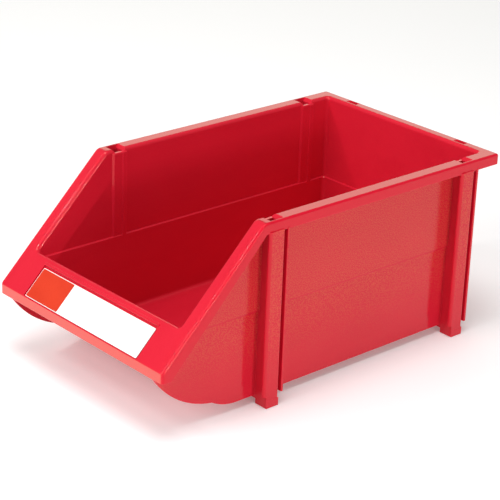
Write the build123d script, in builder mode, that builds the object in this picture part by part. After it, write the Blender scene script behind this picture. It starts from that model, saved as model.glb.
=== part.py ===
"""Stackable open-front storage bin: one moulded body, its label card and a colour-code tab.

Frame: millimetres, +Z up, front lip towards -Y, origin on the floor below the middle of the bin.
"""
from build123d import *

import os
from math import atan2, cos, degrees, radians, sin, sqrt, tan

# ---- Overall size ---------------------------------------------------------------------------
WIDTH = 201.4  # across the rim
LENGTH = 347.0  # front lip to rear rim
HEIGHT = 152.0  # feet to rim
FRONT = -LENGTH / 2
BACK = LENGTH / 2

# ---- Rim, skirt and sloping front -----------------------------------------------------------
LIP_TOP = 59.4  # height of the front lip's upper edge
LIP_DROP = 8.1  # height of the front lip
SLOPE_RUN = 94.0  # how far back the side rims slope
SKIRT_DROP = 9.1  # depth of the rim's outer skirt
SKIRT_WALL = 1.8
FLANGE = 2.4  # thickness of the rim's top and of the label plate
SKIRT_EDGE_RADIUS = 0.5  # the skirt's lower outer edge
RIM_OUTER_RADIUS = 1.8
RIM_INNER_RADIUS = 3.0
RIM_CORNER_RADIUS = 1.2  # plan corners at the back
LIP_CORNER_RADIUS = 3.0  # plan corners of the front lip
SLOPE_BEND_RADIUS = 7.0
SKIRT_TOE = 8.6  # where the sloping skirt meets the lip's lower edge
SKIRT_BEND = 96.0  # where the sloping skirt meets the level one

# ---- Walls and floor ------------------------------------------------------------------------
WALL = 2.2
UPPER_OUTER_X = 90.0  # outer face of the side walls above the step
WALL_STEP = 1.6  # how far the lower walls are set in
STEP_Z = 77.6
STEP_LAP = 0.7  # half the overlap of the upper and lower walls
LEDGE_BEVEL = 0.5  # on the edge of the ledge that the step leaves inside
REAR_RIM = 10.3  # width of the rear rim
SKID_Z = 6.8  # lower edge of the side walls
FLOOR_UNDER = 8.3
FLOOR_TOP = FLOOR_UNDER + WALL
BELLY_Y = FRONT + 83.0  # where the floor starts to curve up
BELLY_Z = 54.8  # height of that curve's centre
FRONT_WALL_ANGLE = 73.0
INSIDE_RADIUS = 3.0  # floor edges and the lower walls' corners
UPPER_CORNER_RADIUS = 2.5  # the upper walls' inside corners
OUTER_CORNER_RADIUS = 4.0  # the walls' outside corners at the back

# ---- Nose: the side walls' curved front ends ------------------------------------------------
NOSE_BACK_Y = FRONT + 58.0
NOSE_MID = (FRONT + 29.0, 24.3)

# ---- Corner posts, feet and sockets ---------------------------------------------------------
POST_YS = (FRONT + 107.0, FRONT + 312.2)
POST_DEPTH = 12.1  # along the bin
POST_OUTER_X = 101.5
POST_TOP = HEIGHT - 8.0
FOOT_INNER_X = 89.1
FOOT_OUTER_X = 101.7
FOOT_HEIGHT = 4.1
SHOULDER_INNER_X = 84.7
NOTCH = (13.0, 8.4, 2.7)  # length at the rim's top, length at its floor, depth
NOTCH_EDGE_RADIUS = 1.0  # the notch's inner lip
SOCKET = (9.2, 8.4)  # hollow down from each notch, across and along the bin
SOCKET_X = 93.8
SOCKET_FLOOR = 79.5
CORE = (8.0, 7.6)  # hollow that comes up from under each foot, across and along the bin
CORE_X = 95.4
CORE_TOP = 74.0
FLANGE_STRIP = ((99.4, 102.0), (-9.1, -3.7))  # x range, and y range measured from the post
REAR_RIB = ((88.0, 101.3), (8.8, 11.0))
GROOVE_WEB = ((88.0, 96.6), (5.8, 9.0))
RAIL_BOTTOM = 10.2
PILASTER_FRONT = (-7.3, -6.0)  # ramp at the pilaster's front, measured from the post
PILASTER_BACK = (2.4, 6.2)  # its thicker rear part
PILASTER_RECESS = 0.4  # how far its front part is set back
STRIP_RADIUS = 2.5
POST_BACK_RADIUS = 1.7
EDGE_RADIUS = 0.5
JOIN = 2.0  # how far one part of the moulding runs into the next

# ---- Slots in the rear rim ------------------------------------------------------------------
SLOT_X = 62.7
SLOT = (11.8, 7.8)  # length at the rim's top and under it
SLOT_INSET = 6.8  # from the rear face to the slot's inner edge

# ---- Label pocket, card and tab -------------------------------------------------------------
POCKET = (140.4, 28.5, 1.2)
POCKET_EDGE = 0.7  # land between the pocket and the lip
RIDGE = (2.6, 0.8)  # retaining ridge above the pocket, width and height
CARD = (137.6, 26.0, 0.5)
CARD_EDGE = 1.2
CARD_GAP = 0.3  # card clear of the pocket's floor
TAB = (39.4, 25.0, 0.2)
TAB_MARGIN = 0.5
CARD_RADIUS = 1.0  # corners of the card and the tab

# ---- Worked out -----------------------------------------------------------------------------
SLOPE_RISE = HEIGHT - LIP_TOP
SLOPE_ANGLE = degrees(atan2(SLOPE_RISE, SLOPE_RUN))
SLOPE_COS = cos(radians(SLOPE_ANGLE))
SLOPE_TAN = tan(radians(SLOPE_ANGLE))
LIP_BOTTOM = LIP_TOP - LIP_DROP
SKIRT_BOTTOM = HEIGHT - SKIRT_DROP
LOWER_OUTER_X = UPPER_OUTER_X - WALL_STEP
UPPER_INNER_X = UPPER_OUTER_X - WALL
LOWER_INNER_X = LOWER_OUTER_X - WALL
UPPER_REAR_IN = BACK - REAR_RIM
LOWER_REAR_IN = UPPER_REAR_IN - WALL_STEP
ABOVE = HEIGHT + 20.0  # clear over the bin, for cuts
BELOW = -1.0  # clear under the bin, for cuts
LIP_INNER_Y = FRONT + SKIRT_WALL
LEDGE_Z = STEP_Z + STEP_LAP
SKIRT_INNER_X = WIDTH / 2 - SKIRT_WALL
ROOT_X = LOWER_INNER_X + 0.5  # posts start inside the side walls
NOTCH_FLOOR = HEIGHT - NOTCH[2]
NOTCH_OUTER_X = SOCKET_X + SOCKET[0] / 2
SLOPE_PLANE = Plane(
    origin=(0, FRONT, LIP_TOP),
    x_dir=(1, 0, 0),
    z_dir=(0, -sin(radians(SLOPE_ANGLE)), SLOPE_COS),
)


def slope_z(y, depth=0.0):
    """Height at y of the sloping face, or of a face that lies depth below it."""
    return LIP_TOP + (y - FRONT) * SLOPE_TAN - depth / SLOPE_COS


def slope_y(z, depth=0.0):
    """Where the sloping face, or one that lies depth below it, reaches the height z."""
    return FRONT + (z - LIP_TOP + depth / SLOPE_COS) / SLOPE_TAN


def belly_points(radius):
    """Floor end, middle and upper end of the front curve, and its straight wall's direction."""
    turn = radians(FRONT_WALL_ANGLE)
    start = (BELLY_Y, BELLY_Z - radius)
    middle = (BELLY_Y - radius * sin(turn / 2), BELLY_Z - radius * cos(turn / 2))
    end = (BELLY_Y - radius * sin(turn), BELLY_Z - radius * cos(turn))
    return start, middle, end, (-cos(turn), sin(turn))


def wall_point(radius, z):
    """The point at height z on the straight front wall above the curve of this radius."""
    end, direction = belly_points(radius)[2:]
    reach = (z - end[1]) / direction[1]
    return end[0] + reach * direction[0], z


def outline(faces):
    """The edges round a group of faces, without those that two of them share."""
    edges = [edge for face in faces for edge in face.edges()]
    return [edge for edge in edges if sum(edge.is_same(other) for other in edges) == 1]


def box_between(x_range, y_range, z_range, mode=Mode.ADD):
    """A box in the running part, given by its lowest and highest coordinates."""
    sizes = [high - low for low, high in (x_range, y_range, z_range)]
    centre = [(high + low) / 2 for low, high in (x_range, y_range, z_range)]
    with Locations(tuple(centre)):
        Box(*sizes, mode=mode)


def cut_both_sides(x_range, y_range, z_range):
    """Cut a box out of the running part on its right, and the same on its left."""
    box_between(x_range, y_range, z_range, Mode.SUBTRACT)
    box_between((-x_range[1], -x_range[0]), y_range, z_range, Mode.SUBTRACT)


def around(centre, length):
    """The range of this length about a centre."""
    return centre - length / 2, centre + length / 2


def cut_ramped(plane, centre, lengths, floor_z, depth):
    """Cut a notch with ramped ends, wider at the rim's top than at floor_z, into the plane."""
    top, floor = around(centre, lengths[0]), around(centre, lengths[1])
    with BuildSketch(plane) as notch:
        with BuildLine():
            Polyline(
                (top[0], ABOVE),
                (top[0], HEIGHT),
                (floor[0], floor_z),
                (floor[1], floor_z),
                (top[1], HEIGHT),
                (top[1], ABOVE),
                close=True,
            )
        make_face()
    extrude(notch.sketch, amount=depth, mode=Mode.SUBTRACT)


# ---- Hood: rim top, skirt and label plate, still closed over the inside -----------------------
with BuildPart() as hood:
    with BuildSketch(Plane.YZ) as hood_side:
        with BuildLine():
            Polyline(
                (FRONT, LIP_BOTTOM),
                (FRONT, LIP_TOP),
                (FRONT + SLOPE_RUN, HEIGHT),
                (BACK, HEIGHT),
                (BACK, SKIRT_BOTTOM),
                (FRONT + SKIRT_BEND, SKIRT_BOTTOM),
                (FRONT + SKIRT_TOE, LIP_BOTTOM),
                close=True,
            )
        make_face()
        bend = hood_side.vertices().group_by(Axis.Y)[-1]
        fillet(bend.sort_by(Axis.X)[0], SLOPE_BEND_RADIUS)
    extrude(amount=WIDTH / 2, both=True)
    fillet(hood.edges().filter_by(Axis.Z).group_by(Axis.Y)[-1], RIM_CORNER_RADIUS)
    fillet(hood.edges().filter_by(Axis.Z).group_by(Axis.Y)[0], LIP_CORNER_RADIUS)
    fillet(outline(hood.faces().filter_by(lambda f: f.normal_at().Z > 0.5)), RIM_OUTER_RADIUS)
    fillet(outline(hood.faces().filter_by(lambda f: f.normal_at().Z < -0.5)), SKIRT_EDGE_RADIUS)
    with BuildSketch(Plane.YZ):
        with BuildLine():
            Polyline(
                (LIP_INNER_Y, 0),
                (LIP_INNER_Y, slope_z(LIP_INNER_Y, FLANGE)),
                (slope_y(HEIGHT - FLANGE, FLANGE), HEIGHT - FLANGE),
                (BACK - SKIRT_WALL, HEIGHT - FLANGE),
                (BACK - SKIRT_WALL, 0),
                close=True,
            )
        make_face()
    extrude(amount=WIDTH / 2 - SKIRT_WALL, both=True, mode=Mode.SUBTRACT)

# ---- Tub: the walls and floor as one block, with the side walls' curved noses -----------------
with BuildPart() as tub:
    mid_plate = FLANGE / 2
    tip_y = LIP_INNER_Y - mid_plate / 2
    belly = belly_points(BELLY_Z - SKID_Z)[0]
    nose_back_z = BELLY_Z - sqrt((BELLY_Z - SKID_Z) ** 2 - (BELLY_Y - NOSE_BACK_Y) ** 2)
    belly_mid_y = (BELLY_Y + NOSE_BACK_Y) / 2
    belly_mid_z = BELLY_Z - sqrt((BELLY_Z - SKID_Z) ** 2 - (BELLY_Y - belly_mid_y) ** 2)
    with BuildSketch(Plane.YZ):
        with BuildLine():
            Line((LOWER_REAR_IN + WALL, SKID_Z), belly)
            ThreePointArc(belly, (belly_mid_y, belly_mid_z), (NOSE_BACK_Y, nose_back_z))
            ThreePointArc((NOSE_BACK_Y, nose_back_z), NOSE_MID, (tip_y, LIP_BOTTOM))
            Polyline(
                (tip_y, LIP_BOTTOM),
                (tip_y, slope_z(tip_y, mid_plate)),
                (slope_y(HEIGHT - mid_plate, mid_plate), HEIGHT - mid_plate),
                (LOWER_REAR_IN + WALL, HEIGHT - mid_plate),
                (LOWER_REAR_IN + WALL, SKID_Z),
            )
        make_face()
    extrude(amount=LOWER_OUTER_X, both=True)
    with BuildSketch(Plane.YZ):
        with BuildLine():
            Polyline(
                (slope_y(STEP_Z - STEP_LAP, mid_plate), STEP_Z - STEP_LAP),
                (slope_y(HEIGHT - mid_plate, mid_plate), HEIGHT - mid_plate),
                (UPPER_REAR_IN + WALL, HEIGHT - mid_plate),
                (UPPER_REAR_IN + WALL, STEP_Z - STEP_LAP),
                close=True,
            )
        make_face()
    extrude(amount=UPPER_OUTER_X, both=True)
    uprights = tub.edges().filter_by(Axis.Z)
    fillet(uprights.filter_by(lambda edge: edge.center().Y > LOWER_REAR_IN), OUTER_CORNER_RADIUS)
    step_edges = tub.edges().filter_by(lambda edge: abs(edge.center().Z - STEP_Z + STEP_LAP) < 0.01)
    step_edges = step_edges.filter_by(lambda edge: edge.length > SLOPE_RUN)
    fillet(step_edges.filter_by(lambda edge: abs(edge.center().X) > LOWER_OUTER_X + 0.1), EDGE_RADIUS)

# ---- Inside of the bin, below the step and above it -------------------------------------------
with BuildPart() as lower_inside:
    start, middle, end = belly_points(BELLY_Z - FLOOR_TOP)[:3]
    with BuildSketch(Plane.YZ):
        with BuildLine():
            Line((LOWER_REAR_IN, FLOOR_TOP), start)
            ThreePointArc(start, middle, end)
            Polyline(
                end,
                wall_point(BELLY_Z - FLOOR_TOP, ABOVE),
                (LOWER_REAR_IN, ABOVE),
                (LOWER_REAR_IN, FLOOR_TOP),
            )
        make_face()
    extrude(amount=LOWER_INNER_X, both=True)
    side_edges = [
        edge
        for edge in lower_inside.edges()
        if abs(abs(edge.center().X) - LOWER_INNER_X) < 0.01 and edge.center().Z < ABOVE - 1
    ]
    rear_floor_edge = lower_inside.edges().filter_by(Axis.X).group_by(Axis.Y)[-1].sort_by(Axis.Z)[0]
    fillet(side_edges + [rear_floor_edge], INSIDE_RADIUS)

with BuildPart() as upper_inside:
    with BuildSketch(Plane.YZ):
        with BuildLine():
            Polyline(
                wall_point(BELLY_Z - FLOOR_TOP, STEP_Z + STEP_LAP),
                wall_point(BELLY_Z - FLOOR_TOP, ABOVE),
                (UPPER_REAR_IN, ABOVE),
                (UPPER_REAR_IN, STEP_Z + STEP_LAP),
                close=True,
            )
        make_face()
    extrude(amount=UPPER_INNER_X, both=True)
    corners = upper_inside.edges().filter_by(lambda edge: abs(edge.tangent_at(0).Z) > 0.5)
    fillet(corners, UPPER_CORNER_RADIUS)

# ---- Space under the floor and ahead of the front wall, between the side walls ----------------
with BuildPart() as nose_space:
    radius = BELLY_Z - FLOOR_UNDER
    start, middle, end = belly_points(radius)[:3]
    direction = belly_points(radius)[3]
    reach = (slope_z(end[0], FLANGE) - end[1]) / (direction[1] - direction[0] * SLOPE_TAN)
    wall_top = (end[0] + reach * direction[0], end[1] + reach * direction[1])
    with BuildSketch(Plane.YZ):
        with BuildLine():
            Line((LOWER_REAR_IN, FLOOR_UNDER), start)
            ThreePointArc(start, middle, end)
            Polyline(
                end,
                wall_top,
                (LIP_INNER_Y, slope_z(LIP_INNER_Y, FLANGE)),
                (LIP_INNER_Y, BELOW),
                (LOWER_REAR_IN, BELOW),
                (LOWER_REAR_IN, FLOOR_UNDER),
            )
        make_face()
    extrude(amount=LOWER_INNER_X, both=True)

# ---- One corner post with its foot, rails and inside pilaster, for the right side, about y = 0 ---
with BuildPart() as post:
    half = POST_DEPTH / 2
    cap_half = NOTCH[0] / 2 + SKIRT_WALL
    box_between((ROOT_X, POST_OUTER_X), (-half, half), (FOOT_HEIGHT, POST_TOP))
    box_between(*GROOVE_WEB, (RAIL_BOTTOM, POST_TOP))
    box_between(*REAR_RIB, (RAIL_BOTTOM, POST_TOP))
    box_between(*FLANGE_STRIP, (RAIL_BOTTOM, POST_TOP))
    box_between((FOOT_INNER_X, FOOT_OUTER_X), (-half, half), (0, FOOT_HEIGHT + JOIN))
    box_between((SHOULDER_INNER_X, FOOT_INNER_X + JOIN), (-half, half), (FOOT_HEIGHT, FLOOR_UNDER + 1))
    uprights = post.edges().filter_by(Axis.Z).filter_by(lambda edge: edge.length > POST_TOP / 2)
    outer = uprights.filter_by(lambda edge: edge.center().X > POST_OUTER_X - EDGE_RADIUS)
    fillet(outer.sort_by(Axis.Y)[0], STRIP_RADIUS)
    fillet(outer.filter_by(lambda edge: abs(edge.center().Y - half) < 0.1), POST_BACK_RADIUS)
    fillet(outer.filter_by(lambda edge: edge.center().Y > half + 0.1), EDGE_RADIUS)

    # cap that closes the skirt round the notch
    cap_top = HEIGHT - FLANGE / 2
    box_between((UPPER_OUTER_X - WALL / 2, WIDTH / 2 - 1), (-cap_half, cap_half), (SKIRT_BOTTOM, cap_top))

# ---- Pilaster inside the wall, behind one post on the right -------------------------------------
with BuildPart() as pilaster_pad:
    pilaster_root = UPPER_INNER_X + WALL / 4
    box_between((LOWER_INNER_X, pilaster_root), PILASTER_BACK, (STEP_Z, NOTCH_FLOOR))
    fillet(pilaster_pad.edges().filter_by(Axis.Y).group_by(Axis.Z)[-1].sort_by(Axis.X)[0], NOTCH_EDGE_RADIUS)

with BuildPart() as pilaster:
    recess_x = LOWER_INNER_X + PILASTER_RECESS
    with BuildSketch(Plane.XY.offset(STEP_Z)):
        with BuildLine():
            Polyline(
                (pilaster_root, PILASTER_FRONT[0]),
                (UPPER_INNER_X, PILASTER_FRONT[0]),
                (recess_x, PILASTER_FRONT[1]),
                (recess_x, PILASTER_BACK[1]),
                (pilaster_root, PILASTER_BACK[1]),
                close=True,
            )
        make_face()
    extrude(amount=NOTCH_FLOOR - STEP_Z)
    fillet(pilaster.edges().filter_by(Axis.Y).group_by(Axis.Z)[-1].sort_by(Axis.X)[0], NOTCH_EDGE_RADIUS)
    add(pilaster_pad.part)

# ---- Bin body ---------------------------------------------------------------------------------
with BuildPart() as bin_body:
    add(hood.part)
    add(tub.part)
    add(lower_inside.part, mode=Mode.SUBTRACT)
    add(upper_inside.part, mode=Mode.SUBTRACT)
    add(nose_space.part, mode=Mode.SUBTRACT)

    # rounded inner edge of the rim
    rim_top = bin_body.faces().filter_by(lambda f: f.normal_at().Z > 0.5)
    mouth = [edge for edge in outline(rim_top) if abs(edge.center().X) < UPPER_INNER_X + 0.1]
    mouth = [edge for edge in mouth if FRONT + 20 < edge.center().Y < UPPER_REAR_IN + 0.1]
    mouth = [edge for edge in mouth if edge.center().Z > STEP_Z + 2]
    fillet(mouth, RIM_INNER_RADIUS)

    # bevelled edge of the ledge inside
    bevel_front = wall_point(BELLY_Z - FLOOR_TOP, LEDGE_Z)[0] + INSIDE_RADIUS
    bevel_back = LOWER_REAR_IN + LEDGE_BEVEL
    with BuildSketch(Plane.XY.offset(LEDGE_Z)) as ledge_outline:
        with Locations((0, (bevel_front + bevel_back) / 2)):
            Rectangle(2 * (LOWER_INNER_X + LEDGE_BEVEL), bevel_back - bevel_front)
        fillet(ledge_outline.vertices().group_by(Axis.Y)[-1], INSIDE_RADIUS + LEDGE_BEVEL)
    extrude(amount=-LEDGE_BEVEL, taper=45, mode=Mode.SUBTRACT)

    # corner posts and pilasters
    left_post = mirror(post.part, about=Plane.YZ, mode=Mode.PRIVATE)
    left_pilaster = mirror(pilaster.part, about=Plane.YZ, mode=Mode.PRIVATE)
    with Locations(*[(0, post_y, 0) for post_y in POST_YS]):
        for piece in (post.part, left_post, pilaster.part, left_pilaster):
            add(piece)

    # notches in the rim, sockets below them and hollows up from the feet
    for post_y in POST_YS:
        for side in (1, -1):
            inner = Plane.YZ.offset(side * NOTCH_OUTER_X)
            cut_ramped(inner, post_y, NOTCH[:2], NOTCH_FLOOR, side * (LOWER_INNER_X - JOIN - NOTCH_OUTER_X))
        cut_both_sides(around(SOCKET_X, SOCKET[0]), around(post_y, SOCKET[1]), (SOCKET_FLOOR, ABOVE))
        cut_both_sides(around(CORE_X, CORE[0]), around(post_y, CORE[1]), (BELOW, CORE_TOP))

    # slots in the rear rim
    for slot_x in (SLOT_X, -SLOT_X):
        behind = Plane.XZ.offset(SLOT_INSET - BACK)
        cut_ramped(behind, slot_x, SLOT, HEIGHT - FLANGE - EDGE_RADIUS, SKIRT_WALL - SLOT_INSET)

    # label pocket in the sloping plate, and the ridge above it
    with BuildSketch(SLOPE_PLANE):
        with Locations((0, POCKET_EDGE + POCKET[1] / 2)):
            Rectangle(POCKET[0], POCKET[1])
    extrude(amount=-POCKET[2], mode=Mode.SUBTRACT)
    ridge_plane = Plane(
        origin=SLOPE_PLANE.from_local_coords((0, POCKET_EDGE + POCKET[1] + RIDGE[0] / 2, 0)),
        x_dir=SLOPE_PLANE.y_dir,
        z_dir=(1, 0, 0),
    )
    with BuildSketch(ridge_plane):
        Ellipse(RIDGE[0] / 2, RIDGE[1])
    extrude(amount=POCKET[0] / 2, both=True)
bin_body.part.label = "bin_body"

# ---- Label card and colour-code tab -------------------------------------------------------------
with BuildPart() as label_card:
    card_back = CARD_GAP - POCKET[2]
    with BuildSketch(SLOPE_PLANE.offset(card_back)):
        with Locations((0, CARD_EDGE + CARD[1] / 2)):
            RectangleRounded(CARD[0], CARD[1], CARD_RADIUS)
    extrude(amount=CARD[2])
label_card.part.label = "label_card"

with BuildPart() as colour_tab:
    with BuildSketch(SLOPE_PLANE.offset(card_back + CARD[2])):
        with Locations((TAB_MARGIN + TAB[0] / 2 - CARD[0] / 2, CARD_EDGE + CARD[1] / 2)):
            RectangleRounded(TAB[0], TAB[1], CARD_RADIUS)
    extrude(amount=TAB[2])
colour_tab.part.label = "colour_tab"

os.makedirs("parts", exist_ok=True)
for piece in (bin_body, label_card, colour_tab):
    export_step(piece.part, f"parts/{piece.part.label}.step")
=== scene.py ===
"""Looks of the stackable storage bin: red plastic, a white label card and a colour tab."""
import math

import bpy
from mathutils import Matrix, Vector

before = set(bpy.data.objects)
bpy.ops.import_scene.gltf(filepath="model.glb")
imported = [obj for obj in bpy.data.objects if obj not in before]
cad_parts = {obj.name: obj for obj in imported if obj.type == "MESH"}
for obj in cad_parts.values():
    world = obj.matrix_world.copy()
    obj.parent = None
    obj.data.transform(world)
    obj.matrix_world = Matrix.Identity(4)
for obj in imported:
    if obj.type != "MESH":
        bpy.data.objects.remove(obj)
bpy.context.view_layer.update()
scene = bpy.context.scene

# where the looks change over the moulding, in metres: each mask turns between its two numbers
OUTER_SIDE_X = (0.0875, 0.0880)  # the side's outer faces are beyond this
OUTER_REAR_Y = (0.1632, 0.1640)
SKIRT_FROM_X = (0.0990, 0.0995)  # the rim's skirt is beyond this
SKIRT_TO_X = (0.1011, 0.1014)
POSTS_FROM_X = (0.0960, 0.0965)
STEP_FROM_Z = (0.0764, 0.0768)  # the lower edge of the upper wall
STEP_TO_Z = (0.0782, 0.0786)
# painted shade: pale specks fade to a deeper red towards the feet
TEXTURE_FADE_AND_PAINTED_SHADE_Z = (0.004, 0.095)
RIM_TOP_Z = (0.1505, 0.1512)
LIP_FRONT_Y = (-0.1725, -0.1715)
# painted highlight along the edges
EDGE_HIGHLIGHT_REACH = 0.0006  # how far round an edge its light line goes

# how squarely a face must point a given way
FACING = (0.95, 0.99)
FACING_LOOSE = (0.90, 0.97)

# colours, as display values
RED = (208, 29, 51)
RED_DRIFT = (214, 32, 54)
RED_FLOW = (202, 25, 47)
# painted shade: a deeper red for the rim's skirt
RED_SKIRT_PAINTED_SHADE = (216, 8, 44)
# painted shade: a deeper red for the rim's flat top
RED_RIM_TOP_PAINTED_SHADE = (178, 22, 36)
# painted highlight: a paler salmon for the lip's front face
RED_LIP_PAINTED_HIGHLIGHT = (232, 126, 108)
SPECK = (216, 100, 64)
# painted highlight along the edges, on smooth and on textured faces
EDGE_HIGHLIGHT_SMOOTH = (255, 52, 84)
EDGE_HIGHLIGHT_TEXTURED = (242, 88, 80)
REFLECTION_TINT = (1.0, 0.50, 0.40, 1.0)
CARD = ((250, 250, 249), (243, 243, 241))
TAB = ((208, 54, 22), (200, 47, 16))
CARD_FIBRE = 900.0  # grain scale
TAB_FIBRE = 700.0


# ---- Node helpers ---------------------------------------------------------------------------
class Graph:
    """A material's node tree, built with short calls."""

    def __init__(self, name):
        self.material = bpy.data.materials.new(name)
        self.material.use_nodes = True
        self.tree = self.material.node_tree
        self.shader = self.tree.nodes["Principled BSDF"]

    def node(self, kind, **values):
        made = self.tree.nodes.new(kind)
        for key, value in values.items():
            setattr(made, key, value)
        return made

    def link(self, source, target):
        self.tree.links.new(source, target)

    def feed(self, target, value):
        if isinstance(value, bpy.types.NodeSocket):
            self.link(value, target)
        else:
            target.default_value = value

    def math(self, operation, first, second=0.0):
        made = self.node("ShaderNodeMath", operation=operation)
        for socket, value in zip(made.inputs, (first, second)):
            self.feed(socket, value)
        return made.outputs[0]

    def times(self, first, second):
        return self.math("MULTIPLY", first, second)

    def without(self, mask, other):
        """A mask with another mask's area taken out."""
        return self.times(mask, self.math("SUBTRACT", 1.0, other))

    def until(self, value, span):
        """1 below a span and 0 above it."""
        return self.ramp(value, *span, 1.0, 0.0)

    def ramp(self, value, low, high, to_low=0.0, to_high=1.0):
        """Smooth step of a value from low..high to to_low..to_high."""
        made = self.node("ShaderNodeMapRange", interpolation_type="SMOOTHSTEP")
        for socket, number in zip(made.inputs, (value, low, high, to_low, to_high)):
            self.feed(socket, number)
        return made.outputs["Result"]

    def noise(self, vector, scale, detail=2.0, rough=0.5):
        made = self.node("ShaderNodeTexNoise")
        self.feed(made.inputs["Vector"], vector)
        for key, number in (("Scale", scale), ("Detail", detail), ("Roughness", rough)):
            made.inputs[key].default_value = number
        return made.outputs["Fac"]

    def mix(self, factor, first, second):
        made = self.node("ShaderNodeMix", data_type="RGBA")
        self.feed(made.inputs["Factor"], factor)
        for key, value in (("A", first), ("B", second)):
            socket = [s for s in made.inputs if s.name == key and s.type == "RGBA"][0]
            self.feed(socket, value)
        return [s for s in made.outputs if s.type == "RGBA"][0]

    def bump(self, height, strength, distance, normal=None):
        made = self.node("ShaderNodeBump")
        self.feed(made.inputs["Strength"], strength)
        made.inputs["Distance"].default_value = distance
        self.feed(made.inputs["Height"], height)
        if normal is not None:
            self.feed(made.inputs["Normal"], normal)
        return made.outputs["Normal"]


def rgb(red, green, blue):
    """Linear colour from 0..255 display values."""
    linear = []
    for value in (red, green, blue):
        value /= 255
        linear.append(value / 12.92 if value <= 0.04045 else ((value + 0.055) / 1.055) ** 2.4)
    return (*linear, 1.0)


# ---- Moulded plastic ------------------------------------------------------------------------
def bin_plastic():
    g = Graph("bin_plastic_red")
    place = g.node("ShaderNodeTexCoord").outputs["Object"]
    split = g.node("ShaderNodeSeparateXYZ")
    g.link(place, split.inputs[0])
    x, y, z = split.outputs
    geometry = g.node("ShaderNodeNewGeometry")
    face = g.node("ShaderNodeSeparateXYZ")
    g.link(geometry.outputs["True Normal"], face.inputs[0])
    nx, ny, nz = face.outputs

    # sandy texture on the outward faces of the sides and the rear; its fade towards the feet
    # and the gaps at the skirt and the wall's step were chosen; the fade and the gap at the
    # step are painted shade, a deeper red without pale specks
    side = g.math("ABSOLUTE", x)
    outward = g.times(g.math("SIGN", x), nx)
    outer_side = g.times(g.ramp(side, *OUTER_SIDE_X), g.ramp(outward, *FACING))
    outer_rear = g.times(g.ramp(y, *OUTER_REAR_Y), g.ramp(ny, *FACING))
    textured = g.math("MAXIMUM", outer_side, outer_rear)
    textured = g.times(textured, g.ramp(z, *TEXTURE_FADE_AND_PAINTED_SHADE_Z, 0.05, 1.0))
    skirt = g.times(g.ramp(side, *SKIRT_FROM_X), g.until(side, SKIRT_TO_X))
    textured = g.without(textured, skirt)
    # painted shade: a deeper red line along the wall's step, without pale specks
    step = g.times(g.ramp(z, *STEP_FROM_Z), g.until(z, STEP_TO_Z))
    step = g.times(step, g.until(side, POSTS_FROM_X))
    textured = g.without(textured, step)

    # pigment: slow drift, flow streaks and fine mottle
    drift = g.noise(place, 7.0, 2.0)
    stretch = g.node("ShaderNodeMapping")
    stretch.inputs["Scale"].default_value = (1.0, 0.22, 1.0)
    g.link(place, stretch.inputs["Vector"])
    flow = g.noise(stretch.outputs[0], 46.0, 3.0, 0.6)
    mottle = g.noise(place, 1100.0, 2.0, 0.6)
    base = g.mix(g.ramp(drift, 0.3, 0.7), rgb(*RED), rgb(*RED_DRIFT))
    base = g.mix(g.times(g.ramp(flow, 0.42, 0.75), 0.35), base, rgb(*RED_FLOW))
    speck = g.times(g.ramp(mottle, 0.48, 0.58), g.ramp(textured, 0, 1, 0.03, 0.50))
    # tones by place, chosen to match the photo's shading and not known in the plastic
    # painted shade: the rim's skirt is given a deeper red
    base = g.mix(g.times(skirt, 0.8), base, rgb(*RED_SKIRT_PAINTED_SHADE))
    base = g.mix(speck, base, rgb(*SPECK))
    # painted shade: the rim's flat top is made a deeper red
    top = g.times(g.ramp(z, *RIM_TOP_Z), g.ramp(nz, *FACING))
    base = g.mix(g.times(top, 0.8), base, rgb(*RED_RIM_TOP_PAINTED_SHADE))
    # painted highlight: the lip's front face is made a paler salmon
    forward = g.times(ny, -1.0)
    lip = g.times(g.until(y, LIP_FRONT_Y), g.ramp(forward, *FACING_LOOSE))
    base = g.mix(g.times(lip, 0.45), base, rgb(*RED_LIP_PAINTED_HIGHLIGHT))

    # painted highlight: a lighter line along the edges, in patches
    bevel = g.node("ShaderNodeBevel", samples=4)
    bevel.inputs["Radius"].default_value = EDGE_HIGHLIGHT_REACH
    dot = g.node("ShaderNodeVectorMath", operation="DOT_PRODUCT")
    g.link(bevel.outputs[0], dot.inputs[0])
    g.link(geometry.outputs["Normal"], dot.inputs[1])
    edge = g.math("SUBTRACT", 1.0, dot.outputs["Value"])
    patches = g.noise(place, 60.0, 4.0)
    edge_highlight = g.times(g.ramp(edge, 0.02, 0.12), g.ramp(patches, 0.25, 0.6))
    edge_highlight_colour = g.mix(textured, rgb(*EDGE_HIGHLIGHT_SMOOTH), rgb(*EDGE_HIGHLIGHT_TEXTURED))
    base = g.mix(g.times(edge_highlight, 0.60), base, edge_highlight_colour)
    g.link(base, g.shader.inputs["Base Color"])

    # gloss: a little smoother inside; the red tint of the reflections was chosen
    marks = g.noise(place, 34.0, 5.0, 0.62)
    rough = g.ramp(marks, 0.35, 0.75, 0.072, 0.092)
    rough = g.math("ADD", rough, g.times(textured, 0.04))
    rough = g.math("ADD", rough, g.times(edge_highlight, 0.10))
    g.link(rough, g.shader.inputs["Roughness"])
    g.shader.inputs["IOR"].default_value = 1.5
    g.shader.inputs["Specular Tint"].default_value = REFLECTION_TINT

    grain = g.noise(place, 1300.0, 2.0, 0.6)
    fine = g.bump(grain, g.ramp(textured, 0, 1, 0.008, 0.16), 0.0004)
    waviness = g.noise(place, 22.0, 1.0)
    normal = g.bump(waviness, 0.003, 0.002, fine)
    g.link(normal, g.shader.inputs["Normal"])
    return g.material


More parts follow.
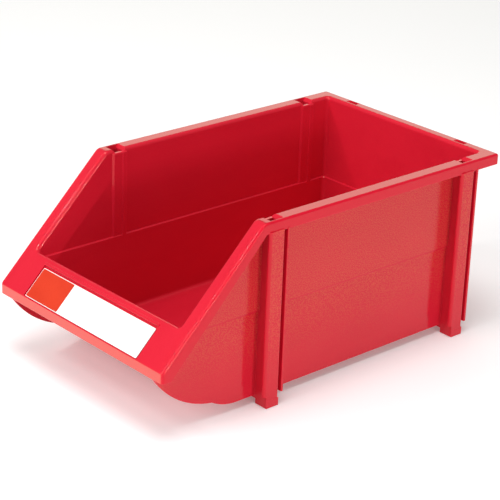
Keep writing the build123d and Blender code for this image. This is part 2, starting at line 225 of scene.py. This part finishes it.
def card_stock(name, first, second, fibre, rough):
    """Printed or plain card with a faint fibre grain."""
    g = Graph(name)
    place = g.node("ShaderNodeTexCoord").outputs["Object"]
    fibres = g.noise(place, fibre, 3.0, 0.6)
    clouds = g.noise(place, 40.0, 2.0)
    tone = g.mix(g.ramp(clouds, 0.3, 0.7), rgb(*first), rgb(*second))
    tone = g.mix(g.times(g.ramp(fibres, 0.45, 0.75), 0.3), tone, rgb(*second))
    g.link(tone, g.shader.inputs["Base Color"])
    g.link(g.ramp(fibres, 0.3, 0.7, rough - 0.08, rough + 0.08), g.shader.inputs["Roughness"])
    g.link(g.bump(fibres, 0.12, 0.0002), g.shader.inputs["Normal"])
    g.shader.inputs["Specular IOR Level"].default_value = 0.25
    return g.material


def dress(node, material):
    """Put one material on all of a CAD node's slots."""
    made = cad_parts[node]
    if not made.material_slots:
        made.data.materials.append(None)
    for slot in made.material_slots:
        slot.material = material


dress("bin_body", bin_plastic())
dress("label_card", card_stock("card_white", *CARD, CARD_FIBRE, rough=0.55))
dress("colour_tab", card_stock("tab_orange", *TAB, TAB_FIBRE, rough=0.42))

# ---- Floor ----------------------------------------------------------------------------------
FLOOR_SIZE = 14.0
FLOOR_Z = -0.0004  # just under the feet
bpy.ops.mesh.primitive_plane_add(size=FLOOR_SIZE, location=(0, 0, FLOOR_Z))
floor = bpy.context.object
floor.name = "floor"
ground = Graph("floor_pale")
ground.shader.inputs["Base Color"].default_value = (0.90, 0.90, 0.90, 1.0)
ground.shader.inputs["Roughness"].default_value = 0.8
ground.shader.inputs["Specular IOR Level"].default_value = 0.2
ground.shader.inputs["Emission Color"].default_value = (1.0, 1.0, 1.0, 1.0)
ground.shader.inputs["Emission Strength"].default_value = 0.16
floor.data.materials.append(ground.material)

# ---- Light ----------------------------------------------------------------------------------
MIDDLE = (0.0, 0.0, 0.08)  # the lamps and the rear panel face this point
SLOPE_MIDDLE = (0.0, -0.125, 0.106)  # the two strips face this one
SLOPE_WAY = (0.0, 0.712, 0.702)  # up along the sloping side rims
world = bpy.data.worlds.new("studio")
scene.world = world
world.use_nodes = True
sky = world.node_tree.nodes["Background"]
sky.inputs["Color"].default_value = (1.0, 1.0, 1.0, 1.0)
sky.inputs["Strength"].default_value = 0.27


def softbox(name, place, target, width, height, power):
    """A rectangular lamp that faces a point."""
    data = bpy.data.lights.new(name, "AREA")
    data.shape = "RECTANGLE"
    data.size = width
    data.size_y = height
    data.energy = power
    lamp = bpy.data.objects.new(name, data)
    scene.collection.objects.link(lamp)
    lamp.location = place
    aim = Vector(target) - Vector(place)
    lamp.rotation_euler = aim.to_track_quat("-Z", "Y").to_euler()
    return lamp


def lamp_power(reach, level):
    """Watts that give a white face this brightness at this distance."""
    return math.pi ** 2 * reach ** 2 * level


def lamp_towards(name, direction, reach, width, height, level):
    """A lamp in this direction; level is how bright it makes a white face turned to it."""
    way = Vector(direction).normalized()
    place = way * reach + Vector(MIDDLE)
    softbox(name, place, MIDDLE, width, height, lamp_power(reach, level))


def strip_towards(name, place, length, width, level):
    """A thin lamp laid along the side rims' slope, for a fine line on their rounded edges."""
    reach = (Vector(place) - Vector(SLOPE_MIDDLE)).length
    lamp = softbox(name, place, SLOPE_MIDDLE, length, width, lamp_power(reach, level))
    away = (Vector(place) - Vector(SLOPE_MIDDLE)).normalized()
    along = Vector(SLOPE_WAY) - Vector(SLOPE_WAY).dot(away) * away
    along.normalize()
    turn = Matrix((along, away.cross(along), away)).transposed()
    lamp.rotation_euler = turn.to_euler()


FAR = 2.2
lamp_towards("lamp_key", (-0.12, -0.84, 0.50), FAR, width=1.1, height=0.9, level=0.42)
lamp_towards("lamp_top", (0.12, -0.20, 0.97), FAR, width=1.1, height=1.1, level=0.60)
lamp_towards("lamp_right", (0.90, -0.12, 0.24), FAR, width=1.0, height=0.7, level=0.11)
strip_towards("strip_front", (-0.87, -1.20, 1.55), length=0.34, width=0.012, level=0.17)
strip_towards("strip_side", (1.95, -0.10, 0.44), length=0.34, width=0.012, level=0.15)
panel_place = (-1.70, 1.55, 1.05)
panel = softbox("panel_rear_left", panel_place, MIDDLE, width=1.8, height=1.1, power=8.4)
panel.data.color = (1.0, 0.96, 0.82)

# ---- Camera ---------------------------------------------------------------------------------
CAMERA_PLACE = (0.97810, -0.89419, 0.63640)
CAMERA_RIGHT = (0.66264, 0.74815, 0.03426)
CAMERA_UP = (-0.31206, 0.23423, 0.92074)
CAMERA_BACK = (0.68083, -0.62081, 0.38867)
lens = bpy.data.cameras.new("camera")
lens.sensor_width = 36.0
lens.lens = 129.294
lens.clip_start = 0.01
lens.clip_end = 50.0
camera = bpy.data.objects.new("camera", lens)
scene.collection.objects.link(camera)
turn = Matrix((CAMERA_RIGHT, CAMERA_UP, CAMERA_BACK)).transposed().to_4x4()
camera.matrix_world = Matrix.Translation(CAMERA_PLACE) @ turn
scene.camera = camera

scene.view_settings.view_transform = "Standard"
scene.view_settings.look = "None"
